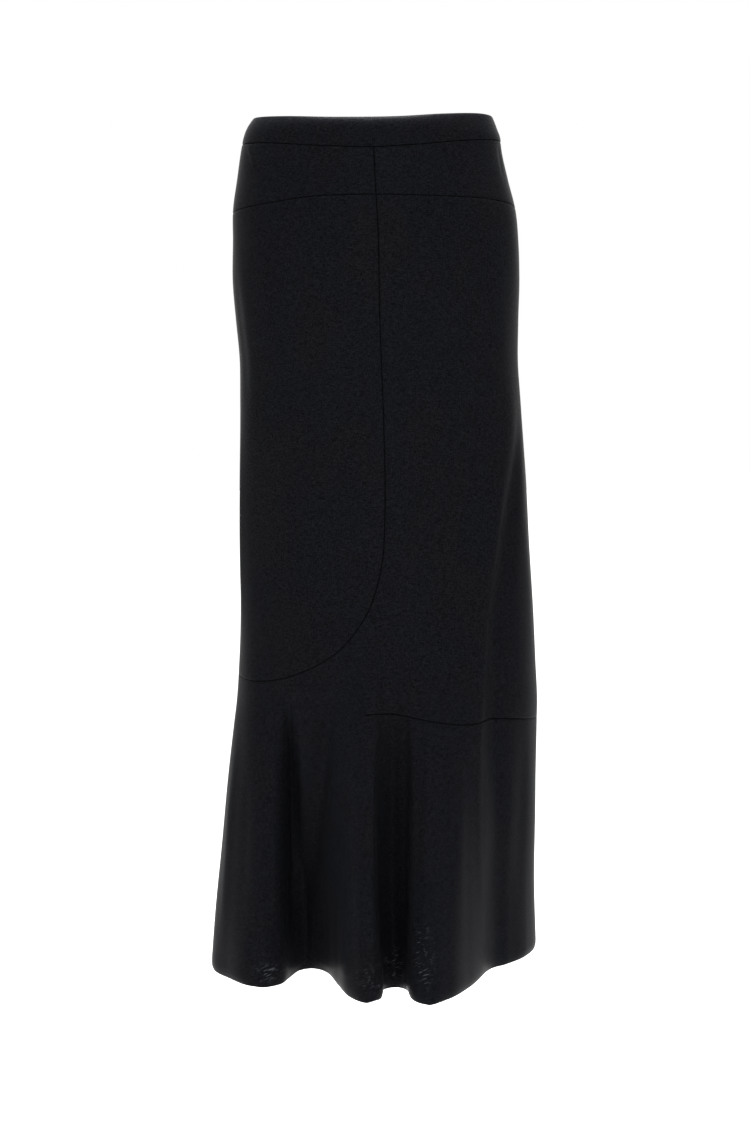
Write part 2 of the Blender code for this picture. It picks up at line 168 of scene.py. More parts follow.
# ---------------------------------------------------------------- creases placed one by one
CREASES = (
    # name,                 turn,  height, turn,  height, bow,    half_width, depth
    ("line_on_ridge_right", +0.330, -0.36, +0.228, -0.92, -0.068, 0.009, +0.0010),
    ("ridge_above_hem",     +0.238, -0.62, +0.212, -1.02, +0.000, 0.022, +0.0018),
    ("ridge_right_softer",  +0.400, -0.26, +0.215, -0.86, -0.090, 0.036, -0.0026),
    ("line_on_crest_b",     -0.072, -0.57, -0.054, -0.95, +0.000, 0.011, +0.0020),
    ("beside_crest_b",      -0.052, -0.55, -0.034, -0.72, +0.000, 0.012, -0.0014),
    ("above_recess_2",      +0.018, -0.57, +0.014, -0.84, +0.000, 0.016, -0.0048),
    ("above_crest_c",       +0.048, -0.58, +0.052, -0.74, +0.000, 0.014, +0.0012),
    ("edge_of_crest_a",     -0.256, -0.64, -0.254, -0.94, +0.000, 0.010, +0.0030),
    ("floor_of_recess_1",   -0.207, -0.64, -0.200, -0.95, +0.000, 0.017, -0.0075),
    ("on_crest_a",          -0.345, -0.70, -0.350, -0.93, +0.000, 0.022, -0.0016),
    ("side_of_crest_a",     -0.420, -0.66, -0.425, -0.94, +0.000, 0.026, +0.0018),
    ("fold_in_recess_1",    -0.190, -0.82, -0.196, -0.98, +0.014, 0.009, -0.0022),
    ("below_slash_1",       +0.110, -0.65, +0.116, -0.86, +0.000, 0.020, -0.0016),
    ("below_slash_2",       +0.155, -0.66, +0.150, -0.93, +0.000, 0.018, +0.0014),
    ("below_slash_3",       +0.370, -0.66, +0.372, -0.90, +0.000, 0.026, -0.0010),
    ("band_end_left_1",     -0.300, +0.012, -0.290, -0.022, +0.000, 0.006, +0.0007),
    ("band_end_left_2",     -0.274, +0.012, -0.268, -0.022, +0.000, 0.005, +0.0005),
    ("yoke_pucker_left",    -0.400, -0.018, -0.330, -0.050, +0.010, 0.007, +0.0009),
    ("yoke_pucker_right",   +0.430, -0.014, +0.400, -0.062, +0.000, 0.010, -0.0008),
    ("thigh_left",          -0.200, -0.24, -0.160, -0.52, +0.020, 0.050, -0.0012),
    ("thigh_right",         +0.130, -0.22, +0.100, -0.50, -0.010, 0.045, -0.0012),
    ("hip_left",            -0.420, -0.13, -0.390, -0.34, +0.000, 0.030, -0.0012),
    ("side_left_long",      -0.460, -0.30, -0.440, -0.60, +0.000, 0.024, +0.0014),
    ("side_right_long",     +0.520, -0.30, +0.505, -0.70, +0.000, 0.026, +0.0016),
    ("seat_trough",         +1.000, -0.17, +0.990, -0.36, +0.000, 0.045, -0.0022),
    ("seat_left",           +1.210, -0.20, +1.180, -0.46, +0.015, 0.040, +0.0016),
    ("seat_right",          +0.800, -0.19, +0.830, -0.44, -0.012, 0.038, +0.0014),
    ("back_line_1",         +0.905, -0.42, +0.880, -0.74, +0.000, 0.016, -0.0018),
    ("back_line_2",         +1.135, -0.46, +1.120, -0.78, +0.000, 0.018, -0.0020),
    ("back_on_crest_2",     +0.780, -0.64, +0.786, -0.94, +0.000, 0.016, +0.0020),
    ("back_on_crest_3",     +1.000, -0.62, +1.012, -0.92, +0.000, 0.014, +0.0018),
    ("back_on_crest_4",     +1.240, -0.66, +1.224, -0.94, +0.000, 0.018, +0.0022),
    ("back_in_valley_1",    +0.660, -0.70, +0.680, -0.93, +0.000, 0.018, -0.0020),
    ("back_side",           +1.400, -0.44, +1.380, -0.80, +0.000, 0.030, -0.0018),
)

# Both deep folds of the flounce and the corner of its right crest also lean, to +X and +Y.
LEANS = (
    # name,               turn,   height, turn,  height, half_width, x,    y
    ("back_of_recess_1",  -0.226, -0.62, -0.218, -0.96, 0.015, -0.0060, +0.0120),
    ("deep_recess_1",     -0.194, -0.64, -0.192, -0.99, 0.030, +0.0000, +0.0150),
    ("deep_recess_2",     +0.012, -0.62, +0.013, -0.98, 0.012, +0.0000, +0.0060),
    ("left_of_recess_2",  -0.011, -0.62, -0.011, -0.97, 0.014, -0.0062, +0.0036),
    ("right_of_recess_2", +0.038, -0.62, +0.038, -0.97, 0.012, +0.0030, +0.0090),
    ("corner_of_crest_c", +0.062, -0.62, +0.062, -0.98, 0.015, +0.0010, +0.0060),
)

# How sharply a fold fades at its two ends: a higher power keeps its depth closer to them.
FOLD_END_POWER = 4

# Slow unevenness of hanging cloth, which grows from the waist line down to its full depth.
RIPPLES = (
    # waves round the body, waves per metre, start, depth
    (5, 1.7, 0.4, 0.00035),
    (9, -2.3, 2.1, 0.00028),
    (14, 3.1, 4.4, 0.00020),
    (3, 7.0, 1.2, 0.00022),
)
RIPPLES_FULL_BELOW = 0.15

# The waistband's top and the hem roll inwards: height of each roll, and its depth at the edge.
# The top is cut a little higher to make up for its roll, which is shallow at the sides.
RIM_ROLL = (0.0150, 0.0080)
HEM_ROLL = (0.0120, 0.0046)
ROLL_END = 0.985
RIM_ROLL_AT_SIDES = 0.18
RIM_LIFT = 0.0015
RIM_EDGE = tuple((turn, height + RIM_LIFT) for turn, height in RIM)

# ---------------------------------------------------------------- cloth shells
# Thickness of the cloth, and of the waistband, where it is double.
SHELL = 0.0010
BAND_SHELL = 0.0022
CUT_PIECES = {
    # node: shell, flat size, area of the cut, and the piece that it hangs from
    "waistband_front": (BAND_SHELL, (0.40, 0.042), 0.0129, []),
    "waistband_back": (BAND_SHELL, (0.40, 0.040), 0.0127, []),
    "yoke_front_left": (SHELL, (0.21, 0.078), 0.0136, ["waistband_front"]),
    "yoke_front_right": (SHELL, (0.21, 0.076), 0.0131, ["waistband_front"]),
    "yoke_back": (SHELL, (0.45, 0.088), 0.0339, ["waistband_back"]),
    "front_left_panel": (SHELL, (0.23, 0.54), 0.1125, ["yoke_front_left"]),
    "front_right_panel": (SHELL, (0.80, 0.88), 0.342, ["yoke_front_right"]),
    "back_panel": (SHELL, (0.78, 0.88), 0.425, ["yoke_back"]),
}

# How the outer face dips towards an edge: distance from the edge, and depth there for each kind.
# The last number is how the inner face follows the dip: inwards at a seam, outwards at a folded edge.
EDGE_DISTANCES = (0.0, 0.0004, 0.0008, 0.0015, 0.0028)
EDGE_DEPTHS = {
    "seam": (0.00180, 0.00080, 0.00024, 0.00005, 0.0, +0.4),
    "hem": (0.00045, 0.00014, 0.00002, 0.0, 0.0, -0.9),
    "rim": (0.00085, 0.00025, 0.00004, 0.0, 0.0, -0.9),
}

# Mesh spacing: grid columns in turns, grid rows and outline points in metres. A grid point keeps
# a share of the spacing clear of the outline.
COLUMN_STEP_SMOOTH = 0.0085
COLUMN_STEP_FLARED = 0.0032
ROW_STEP = 0.0048
FLARE_TOP = -0.57
EDGE_STEP = 0.0042
POINT_CLEARANCE = 0.45

# Points read on each kind of line before it is spaced evenly.
ROUND_SAMPLES = 600
UPRIGHT_SAMPLES = 400
HEM_SAMPLES = 2400
SWEEP_SAMPLES = 800

# A piece is laid flat with about this many metres to a turn, and one to a metre of height. Points
# closer than the last two are one point, on an outline and when laid flat.
FLAT_SCALE = np.array((0.5, 1.0))
SAME_POINT = 1e-7
SAME_FLAT_POINT = 1e-9

# Half the step over which a slope is taken, and the triangulation's choice of faces in the outline.
NUDGE = 2e-4
KEEP_INSIDE = 1

# Sum of the unit steps' normals at an outline point: almost none where the slash turns back on
# itself, and no sharper mitre than the limit elsewhere.
SLASH_END_SUM = 0.05
MITRE_LIMIT = 0.7

# The seams' dips are marked on the mesh for the material, which paints shade into them, fully dark from
# this depth.
SEAM_SHADE_MARK = "seam_shade"
SEAM_SHADE_FULL_AT = 0.0012

# ---------------------------------------------------------------- crepe
# Noise scales in X, Y and Z, with fine threads across and along, pebbles and slow tone changes.
WEFT = (230.0, 230.0, 1300.0)
WARP = (1300.0, 1300.0, 300.0)
PEBBLES = (900.0, 900.0, 900.0)
SLOW_CHANGE = (14.0, 14.0, 9.0)
THREAD_DETAIL = 1.0
SURFACE_DETAIL = 3.0
NOISE_ROUGHNESS = 0.6

# Two stops of each ramp: where the noise reaches it, and its colour.
TONES = ((0.36, (0.0020, 0.0021, 0.0026)), (0.64, (0.0073, 0.0076, 0.0090)))
HUES = ((0.35, (0.94, 0.97, 1.02)), (0.65, (1.06, 1.02, 1.02)))
# Painted light: colour of the bright strokes where light shines through the thin weave near the hem.
SHINE_THROUGH_COLOUR = (0.045, 0.048, 0.053, 1.0)
# Painted shade: colour of the seams' grooves.
SEAM_SHADE_COLOUR = (0.0026, 0.0027, 0.0032, 1.0)

# Painted light shining through the thin weave near the hem, in patches. A stroke shows where the noise
# is high, and a patch fades from part of its reach outwards.
SHINE_THROUGH = (
    # middle, reach
    ((-0.118, -0.120, -0.938), (0.022, 0.090, 0.013)),
    ((-0.002, -0.170, -0.930), (0.022, 0.060, 0.018)),
    ((+0.021, -0.120, -0.927), (0.018, 0.036, 0.024)),
    ((+0.053, -0.185, -0.905), (0.015, 0.080, 0.040)),
)
SHINE_THROUGH_TILT = math.radians(24.0)
SHINE_THROUGH_GRAIN = (150.0, 60.0, 1400.0)
SHINE_THROUGH_STROKES = (0.67, 0.74)
SHINE_THROUGH_FADE = (1.0, 0.3)

THREAD_RELIEF = 0.7
PEBBLE_RELIEF = 0.5
BUMP_STRENGTH = 0.35
BUMP_DISTANCE = 0.0006
ROUGHNESS_RANGE = (0.30, 0.44)
SPECULAR = 0.005
SHEEN = 0.003
SHEEN_ROUGHNESS = 0.45
SHEEN_TINT = (0.92, 0.95, 1.0, 1.0)

# The range of noise and shares, and the sockets of a Mix node that mixes colours.
UNIT_RANGE = (0.0, 1.0)
MIX_FACTOR, MIX_FIRST, MIX_SECOND = 0, 6, 7
MIX_RESULT = 2

# ---------------------------------------------------------------- studio
FLOOR_BELOW_HEM = 0.42
FLOOR_REACH = 30.0
FLOOR_CORNERS = ((-1, -1), (1, -1), (1, 1), (-1, 1))
FLOOR_TONES = ((0.0, (0.93, 0.93, 0.93)), (1.0, (0.96, 0.96, 0.96)))
FLOOR_NOISE_SCALE = 3.0
FLOOR_NOISE_DETAIL = 2.0
FLOOR_ROUGHNESS = 0.95
WORLD_COLOUR = (1.0, 1.0, 1.0, 1.0)
WORLD_POWER = 1.0
MIDDLE = (0.0, 0.0, -0.45)
WAIST = (0.0, 0.0, 0.0)
LIGHTS = (
    # name, place, aim, size, power
    ("left", (-1.6, 2.4, 0.3), MIDDLE, 1.6, 7.0),
    ("right", (1.6, 2.4, 0.3), MIDDLE, 1.6, 7.0),
    ("front", (0.3, -3.2, 1.0), MIDDLE, 1.6, 24.0),
    ("top", (0.0, 0.35, 1.5), WAIST, 0.8, 140.0),
)
SKY_POWER = 1.6
SKY_SPREAD = math.radians(70.0)
SKY_TIP = math.radians(-15.0)


def smooth_rows(knots, rows, wanted, period=None):
    """Read a table of rows at the wanted places, with a smooth curve through every row."""
    knots = np.asarray(knots, float)
    rows = np.asarray(rows, float).reshape(len(knots), -1)
    if period:
        wanted = (wanted - knots[0]) % period + knots[0]
        knots = np.concatenate((knots[-2:] - period, knots, knots[:2] + period))
        rows = np.concatenate((rows[-2:], rows, rows[:2]))
    gaps = np.diff(knots)[:, None]
    rates = np.diff(rows, axis=0) / gaps
    slopes = np.concatenate((rates[:1], rates))
    slopes[1:-1] = (gaps[1:] * rates[:-1] + gaps[:-1] * rates[1:]) / (gaps[1:] + gaps[:-1])
    span = np.clip(np.searchsorted(knots, wanted) - 1, 0, len(knots) - 2)
    width = gaps[span]
    part = np.clip((wanted - knots[span])[..., None] / width, 0.0, 1.0)
    return (
        (1 + 2 * part) * (1 - part) ** 2 * rows[span]
        + part * (1 - part) ** 2 * width * slopes[span]
        + part ** 2 * (3 - 2 * part) * rows[span + 1]
        + part ** 2 * (part - 1) * width * slopes[span + 1]
    )


def oval(turn, height):
    """The smooth form at a height, without folds."""
    levels = sorted(SECTIONS)
    read = smooth_rows([row[0] for row in levels], [row[1:] for row in levels], height)
    left, right, front, back = np.moveaxis(read, -1, 0)
    across = np.sin(math.pi * turn)
    along = np.cos(math.pi * turn)
    x = (right - left) / 2 + (right + left) / 2 * across
    return x, -np.where(along > 0, front, back) * along


def seam_height(table, turn):
    """Height of a seam that goes round the body."""
    period = None if table is SLASH_SEAM else ROUND
    return smooth_rows([row[0] for row in table], [row[1] for row in table], turn, period)[..., 0]


def fold_share(turn, height, top_turn, top, foot_turn, foot, bow, half_width):
    """How much of a fold is felt at a point: all of it on the fold's line, and none at its ends."""
    along = np.clip((top - height) / (top - foot), 0.0, 1.0)
    line = top_turn + (foot_turn - top_turn) * along + bow * np.sin(math.pi * along)
    away = (turn - line + ROUND / 2) % ROUND - ROUND / 2
    swell = 1.0 - np.cos(math.pi * along) ** FOLD_END_POWER
    return swell * np.exp(-(away / half_width) ** 2)


def cloth_push(turn, height):
    """How far folds, creases and slow ripples move the cloth outwards."""
    push = np.zeros_like(turn)
    for _, *line, depth in SOFT_FOLDS + CREASES:
        push += depth * fold_share(turn, height, *line)
    grown = np.clip(-height / RIPPLES_FULL_BELOW, 0.0, 1.0)
    for waves, per_metre, start, depth in RIPPLES:
        phase = math.pi * waves * turn + 2 * math.pi * per_metre * height + start
        push += depth * np.sin(phase) * grown
    return push


def cloth_lean(turn, height):
    """How far leaning folds move the cloth to +X and +Y."""
    lean = np.zeros(turn.shape + (2,))
    for _, top_turn, top, foot_turn, foot, half_width, *shift in LEANS:
        share = fold_share(turn, height, top_turn, top, foot_turn, foot, 0.0, half_width)
        lean += share[..., None] * np.array(shift)
    return np.moveaxis(lean, -1, 0)


def surface(turn, height):
    """Outer face of the cloth: the oval form, its folds and creases, and the flutes above the hem."""
    turn, height = np.broadcast_arrays(np.asarray(turn, float), np.asarray(height, float))
    x, y = oval(turn, height)
    hem_oval_x, hem_oval_y = oval(turn, np.full_like(height, HEM_HEIGHT))
    fold_turns = [row[1] for row in HEM_FOLDS]
    fold_rows = [row[2:] for row in HEM_FOLDS]
    hem_row = smooth_rows(fold_turns, fold_rows, turn, ROUND)
    hem_x, hem_y, rise, begins = np.moveaxis(hem_row, -1, 0)
    opened = np.clip((begins - height) / (begins - HEM_HEIGHT), 0.0, 1.0)
    push = cloth_push(turn, height)
    lean_x, lean_y = cloth_lean(turn, height)
    x = x + opened * (hem_x - hem_oval_x) + push * np.sin(math.pi * turn) + lean_x
    y = y + opened * (hem_y - hem_oval_y) - push * np.cos(math.pi * turn) + lean_y
    return np.stack((x, y, height + opened * rise), axis=-1)


def roll_in(turn, height):
    """How far the cloth has rolled inwards near the waistband's top and near the hem."""
    depth = np.zeros_like(height)
    off_side = np.cos(math.pi * turn) ** 2
    rim_share = RIM_ROLL_AT_SIDES + (1.0 - RIM_ROLL_AT_SIDES) * off_side
    for room, (roll_height, roll_depth), share in (
        (seam_height(RIM_EDGE, turn) - height, RIM_ROLL, rim_share),
        (height - HEM_HEIGHT, HEM_ROLL, 1.0),
    ):
        part = np.clip(1.0 - room / roll_height, 0.0, ROLL_END)
        depth += share * roll_depth * (1.0 - np.sqrt(1.0 - part ** 2))
    return depth


def slopes_at(turn, height):
    """How the outer face moves per turn and per metre of height."""
    per_turn = (surface(turn + NUDGE, height) - surface(turn - NUDGE, height)) / (2 * NUDGE)
    above = np.minimum(height + NUDGE, SECTIONS[0][0])
    below = np.maximum(height - NUDGE, HEM_HEIGHT)
    per_height = (surface(turn, above) - surface(turn, below)) / (above - below)[..., None]
    return per_turn, per_height


def outward(turn, height):
    """Unit normal of the outer face, pointing away from the hollow inside."""
    per_turn, per_height = slopes_at(turn, height)
    normal = np.cross(per_turn, per_height)
    return normal / np.linalg.norm(normal, axis=-1, keepdims=True)


# ---------------------------------------------------------------- outlines of the cut pieces
def lengths_along(points):
    """Length of the line through the points, from its start to each point."""
    return np.concatenate(([0.0], np.cumsum(np.linalg.norm(np.diff(points, axis=0), axis=1))))


def spaced(route):
    """A route of (turn, height) points read again at even steps along the cloth."""
    route = np.asarray(route, float)
    places = surface(route[:, 0], route[:, 1])
    marks = lengths_along(places)
    count = max(2, round(marks[-1] / EDGE_STEP) + 1)
    wanted = np.linspace(0.0, marks[-1], count)
    return np.stack([np.interp(wanted, marks, route[:, i]) for i in (0, 1)], axis=-1)


def round_seam(table, start, stop):
    """Points of a seam that goes round the body, from one turn to another."""
    turns = np.linspace(start, stop, ROUND_SAMPLES)
    return spaced(np.stack((turns, seam_height(table, turns)), axis=-1))


def upright(turn, start, stop):
    """Points of a seam that keeps its turn, from one height to another."""
    heights = np.linspace(start, stop, UPRIGHT_SAMPLES)
    return spaced(np.stack((np.full_like(heights, turn), heights), axis=-1))


def hem(start, stop):
    """Points of the hem from one turn to another."""
    turns = np.linspace(start, stop, HEM_SAMPLES)
    return spaced(np.stack((turns, np.full_like(turns, HEM_HEIGHT)), axis=-1))


def height_at(table, turn):
    """Height of a seam at one turn."""
    return float(seam_height(table, np.array([turn]))[0])


def sweep_seam():
    """The centre-front seam from the yoke down and round to the left side seam."""
    top = (CENTRE_TURN, height_at(YOKE_SEAM, CENTRE_TURN))
    route = np.array((top,) + CENTRE_SWEEP)
    marks = lengths_along(route * FLAT_SCALE)
    return spaced(smooth_rows(marks, route, np.linspace(0.0, marks[-1], SWEEP_SAMPLES)))


def outline_of(*stretches):
    """One closed outline from (kind, points) stretches, with the depths its outer face dips to."""
    points = []
    depths = []
    for kind, stretch in stretches:
        for point in stretch:
            if points and math.dist(points[-1], point) < SAME_POINT:
                depths[-1] = tuple(max(pair) for pair in zip(depths[-1], EDGE_DEPTHS[kind]))
                continue
            points.append(tuple(point))
            depths.append(EDGE_DEPTHS[kind])
    if math.dist(points[0], points[-1]) < SAME_POINT:
        points.pop()
        depths.pop()
    return np.array(points), np.array(depths)


def edge_rings(outline):
    """The outline moved inwards to each of the edge distances, measured along the cloth."""
    per_turn, per_height = slopes_at(outline[:, 0], outline[:, 1])
    scale = np.stack([np.linalg.norm(slope, axis=1) for slope in (per_turn, per_height)], axis=-1)
    before = (outline - np.roll(outline, 1, axis=0)) * scale
    after = (np.roll(outline, -1, axis=0) - outline) * scale
    before /= np.linalg.norm(before, axis=1, keepdims=True)
    after /= np.linalg.norm(after, axis=1, keepdims=True)
    total = np.stack((-before[:, 1] - after[:, 1], before[:, 0] + after[:, 0]), axis=-1)
    size = np.linalg.norm(total, axis=1, keepdims=True)
    mitre = total * 2.0 / np.maximum(size, MITRE_LIMIT) ** 2
    away = np.where(size < SLASH_END_SUM, before, mitre)
    return [outline + away * distance / scale for distance in EDGE_DISTANCES]


def inside_points(ring):
    """A grid of points inside a ring, closer together where the skirt flares."""
    tree = kdtree.KDTree(len(ring))
    for index, (turn, height) in enumerate(ring * FLAT_SCALE):
        tree.insert((turn, height, 0.0), index)
    tree.balance()
    following = np.roll(ring, -1, axis=0)
    points = []
    rows = math.ceil((ring[:, 1].max() - ring[:, 1].min()) / ROW_STEP)
    for height in np.linspace(ring[:, 1].max(), ring[:, 1].min(), rows + 1)[1:-1]:
        crossing = (ring[:, 1] > height) != (following[:, 1] > height)
        start = ring[crossing]
        stop = following[crossing]
        part = (height - start[:, 1]) / (stop[:, 1] - start[:, 1])
        walls = np.sort(start[:, 0] + part * (stop[:, 0] - start[:, 0]))
        step = COLUMN_STEP_FLARED if height < FLARE_TOP else COLUMN_STEP_SMOOTH
        clearance = POINT_CLEARANCE * min(step * FLAT_SCALE[0], ROW_STEP)
        for left, right in zip(walls[0::2], walls[1::2]):
            for column in range(math.ceil(left / step), math.floor(right / step) + 1):
                spot = (column * step * FLAT_SCALE[0], height, 0.0)
                if tree.find(spot)[2] > clearance:
                    points.append((column * step, height))
    return np.array(points).reshape(-1, 2)


def added(name, data):
    """A new object in the scene."""
    thing = bpy.data.objects.new(name, data)
    bpy.context.scene.collection.objects.link(thing)
    return thing


def outer_faces(spots, count, ring_count):
    """Faces of the outer side: quads from ring to ring, and triangles inside the last ring."""
    edge = [(i, (i + 1) % count) for i in range(count)]
    inner_ring = (ring_count - 1) * count
    laid = [tuple(point) for point in spots[inner_ring:] * FLAT_SCALE]
    cut = delaunay_2d_cdt(laid, edge, [list(range(count))], KEEP_INSIDE, SAME_FLAT_POINT, True)
    _, _, triangles, point_ids, _, face_ids = cut
    origin = [ids[0] + inner_ring for ids in point_ids]
    faces = [tuple(origin[i] for i in face) for face, within in zip(triangles, face_ids) if within]
    for low in range(0, inner_ring, count):
        high = low + count
        faces += [(low + i, low + j, high + j, high + i) for i, j in edge]
    return faces


def cloth_piece(node, outline, depths, material):
    """One cut piece as a thin closed shell with turned-in edges, which replaces its CAD node."""
    shell, flat, area, rests_on = CUT_PIECES[node]
    rings = edge_rings(outline)
    count = len(outline)
    grid = inside_points(rings[-1])
    spots = np.concatenate(rings + [grid])
    dips = np.concatenate([depths[:, i] for i in range(len(rings))] + [np.zeros(len(grid))])
    follow = np.concatenate([depths[:, -1]] * len(rings) + [np.zeros(len(grid))])
    turn, height = spots.T
    normal = outward(turn, height)
    rolled = surface(turn, height) - normal * roll_in(turn, height)[:, None]
    outer_side = rolled - normal * dips[:, None]
    inner_side = rolled - normal * (shell + follow * dips)[:, None]
    points = np.concatenate((outer_side, inner_side))
    total = len(spots)
    faces = outer_faces(spots, count, len(rings))
    faces += [tuple(total + i for i in reversed(face)) for face in faces]
    for i in range(count):
        j = (i + 1) % count
        faces.append((j, i, total + i, total + j))
    mesh = bpy.data.meshes.new(node + "_cloth")
    mesh.from_pydata(points.tolist(), [], faces)
    mesh.update()
    mesh.shade_smooth()
    # Painted shade: how much of the seams' dark colour each point takes, from how deep its seam dips.
    seam_shade_mark = mesh.attributes.new(SEAM_SHADE_MARK, "FLOAT", "POINT")
    at_seam = follow > 0.0
    seam_shade_share = np.minimum(dips / SEAM_SHADE_FULL_AT, 1.0) * at_seam
    seam_shade_mark.data.foreach_set("value", np.tile(seam_shade_share, 2).astype(np.float32))
    mesh.materials.append(material)
    piece = added(node + "_cloth", mesh)
    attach(piece, "root")
    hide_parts(node)


def build_cloth(material):
    """All cut pieces, from the waistband to the hem."""
    left, right, centre, back_left = turns = -SIDE_TURN, SIDE_TURN, CENTRE_TURN, ROUND - SIDE_TURN
    band_top = {turn: height_at(RIM_EDGE, turn) for turn in turns}
    band_foot = {turn: height_at(WAISTBAND_SEAM, turn) for turn in turns}
    yoke_foot = {turn: height_at(YOKE_SEAM, turn) for turn in turns}
    sweep = sweep_seam()
    sweep_foot = sweep[-1][1]
    slash_right = SLASH_SEAM[-1][1]
    slash = round_seam(SLASH_SEAM, SLASH_SEAM[0][0], right)

    def make(node, *stretches):
        outline, depths = outline_of(*stretches)
        cloth_piece(node, outline, depths, material)

    for node, start, stop in (
        ("waistband_front", left, right),
        ("waistband_back", right, back_left),
    ):
        make(
            node,
            ("seam", round_seam(WAISTBAND_SEAM, start, stop)),
            ("seam", upright(stop, band_foot[stop], band_top[stop])),
            ("rim", round_seam(RIM_EDGE, stop, start)),
            ("seam", upright(start, band_top[start], band_foot[start])),
        )
    for node, start, stop in (
        ("yoke_front_left", left, centre),
        ("yoke_front_right", centre, right),
        ("yoke_back", right, back_left),
    ):
        make(
            node,
            ("seam", round_seam(YOKE_SEAM, start, stop)),
            ("seam", upright(stop, yoke_foot[stop], band_foot[stop])),
            ("seam", round_seam(WAISTBAND_SEAM, stop, start)),
            ("seam", upright(start, band_foot[start], yoke_foot[start])),
        )
    make(
        "front_left_panel",
        ("seam", sweep[::-1]),
        ("seam", round_seam(YOKE_SEAM, centre, left)),
        ("seam", upright(left, yoke_foot[left], sweep_foot)),
    )
    make(
        "front_right_panel",
        ("hem", hem(left, right)),
        ("seam", upright(right, HEM_HEIGHT, slash_right)),
        ("seam", slash[::-1]),
        ("seam", slash),
        ("seam", upright(right, slash_right, yoke_foot[right])),
        ("seam", round_seam(YOKE_SEAM, right, centre)),
        ("seam", sweep),
        ("seam", upright(left, sweep_foot, HEM_HEIGHT)),
    )
    make(
        "back_panel",
        ("hem", hem(right, back_left)),
        ("seam", upright(back_left, HEM_HEIGHT, yoke_foot[back_left])),
        ("seam", round_seam(YOKE_SEAM, back_left, right)),
        ("seam", upright(right, yoke_foot[right], HEM_HEIGHT)),
    )


# ---------------------------------------------------------------- materials
def new_material(name):
    """A new material, its node tree and its shader."""
    material = bpy.data.materials.new(name)
    material.use_nodes = True
    return material, material.node_tree, material.node_tree.nodes["Principled BSDF"]


def fill(tree, socket, value):
    """Link a socket to an output, or set it to a value."""
    if isinstance(value, bpy.types.NodeSocket):
        tree.links.new(value, socket)
    else:
        socket.default_value = value


def node_of(tree, kind, settings, inputs):
    """A shader node with its settings, and with its inputs filled by name or by index."""
    node = tree.nodes.new(kind)
    for name, value in settings.items():
        setattr(node, name, value)
    for socket, value in inputs.items():
        fill(tree, node.inputs[socket], value)
    return node


def stretched_noise(tree, place, scale, detail):
    """Noise with its own scale in each direction."""
    mapping = node_of(tree, "ShaderNodeMapping", {}, {"Vector": place, "Scale": scale})
    noise = node_of(tree, "ShaderNodeTexNoise", {}, {
        "Vector": mapping.outputs["Vector"],
        "Scale": 1.0,
        "Detail": detail,
        "Roughness": NOISE_ROUGHNESS,
    })
    return noise.outputs["Fac"]


def ranged(tree, value, source, target=UNIT_RANGE):
    """A value taken from one range to another, and no further than its ends."""
    node = node_of(tree, "ShaderNodeMapRange", {}, {
        "Value": value,
        "From Min": source[0],
        "From Max": source[1],
        "To Min": target[0],
        "To Max": target[1],
    })
    return node.outputs["Result"]


def computed(tree, operation, first, second):
    """A number computed from two."""
    node = node_of(tree, "ShaderNodeMath", {"operation": operation}, {0: first, 1: second})
    return node.outputs[0]


def ramp_of(tree, value, stops):
    """A colour read between two stops."""
    node = node_of(tree, "ShaderNodeValToRGB", {}, {"Fac": value})
    for element, (position, colour) in zip(node.color_ramp.elements, stops):
        element.position = position
        element.color = (*colour, 1.0)
    return node.outputs["Color"]


def mixed_colour(tree, blend, factor, first, second):
    """A colour mixed from two."""
    settings = {"data_type": "RGBA", "blend_type": blend}
    inputs = {MIX_FACTOR: factor, MIX_FIRST: first, MIX_SECOND: second}
    return node_of(tree, "ShaderNodeMix", settings, inputs).outputs[MIX_RESULT]


def shine_through_share(tree, place):
    """How much painted light, shining through the weave, covers the cloth: tilted strokes within the
    patches.
    """
    turned = node_of(tree, "ShaderNodeVectorRotate", {"rotation_type": "Y_AXIS"}, {
        "Vector": place, "Angle": SHINE_THROUGH_TILT,
    })
    shine_strokes = stretched_noise(tree, turned.outputs["Vector"], SHINE_THROUGH_GRAIN, 0.0)
    patches = 0.0
    for middle, reach in SHINE_THROUGH:
        spot = node_of(tree, "ShaderNodeMapping", {}, {
            "Vector": place,
            "Location": [-at / size for at, size in zip(middle, reach)],
            "Scale": [1.0 / size for size in reach],
        })
        reached = spot.outputs["Vector"]
        away = node_of(tree, "ShaderNodeVectorMath", {"operation": "LENGTH"}, {0: reached})
        patch = ranged(tree, away.outputs["Value"], SHINE_THROUGH_FADE)
        patches = computed(tree, "MAXIMUM", patch, patches)
    return computed(tree, "MULTIPLY", ranged(tree, shine_strokes, SHINE_THROUGH_STROKES), patches)


